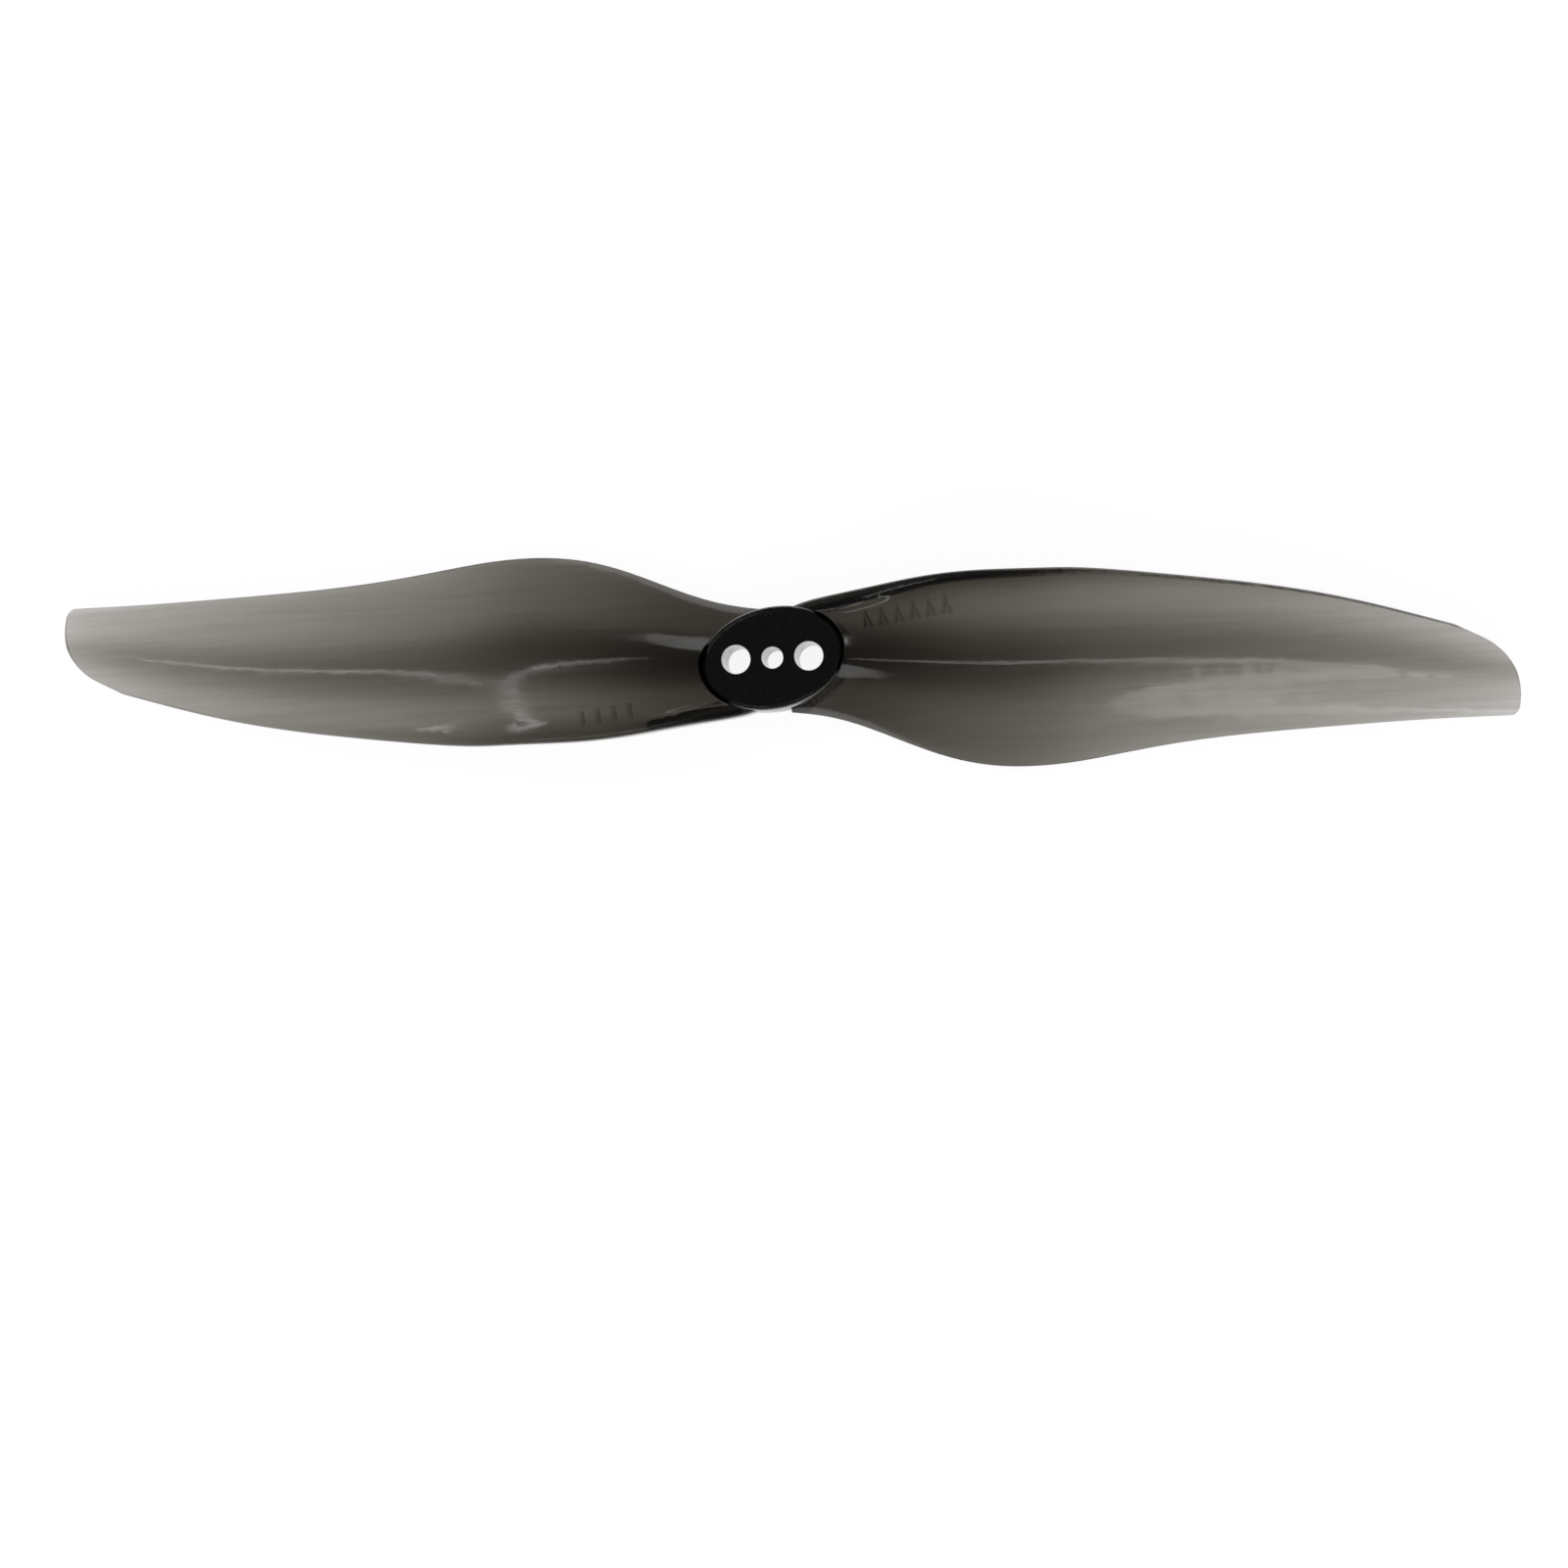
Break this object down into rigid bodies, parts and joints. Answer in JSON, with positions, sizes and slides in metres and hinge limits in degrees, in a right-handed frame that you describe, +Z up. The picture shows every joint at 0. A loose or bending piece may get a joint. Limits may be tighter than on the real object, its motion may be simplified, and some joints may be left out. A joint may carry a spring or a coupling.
{
  "type": "propeller",
  "caption": "Two-blade 4 inch quadcopter propeller in smoke-tinted clear plastic, with an oval hub, a 1.5 mm shaft bore and two M2 screw holes 5 mm apart.",
  "frame": {"origin": "centre of the shaft bore at the hub's lower face, which rests on the motor", "axes": "+Z up along the shaft, in the direction of thrust; +X along the two screw holes, towards one blade"},
  "size_m": [0.101, 0.0162, 0.0069],
  "materials": {
    "tinted_polycarbonate": "gloss"
  },
  "bodies": {
    "root": {"hub": "tinted_polycarbonate", "blade_right": "tinted_polycarbonate", "blade_left": "tinted_polycarbonate"}
  },
  "joints": []
}
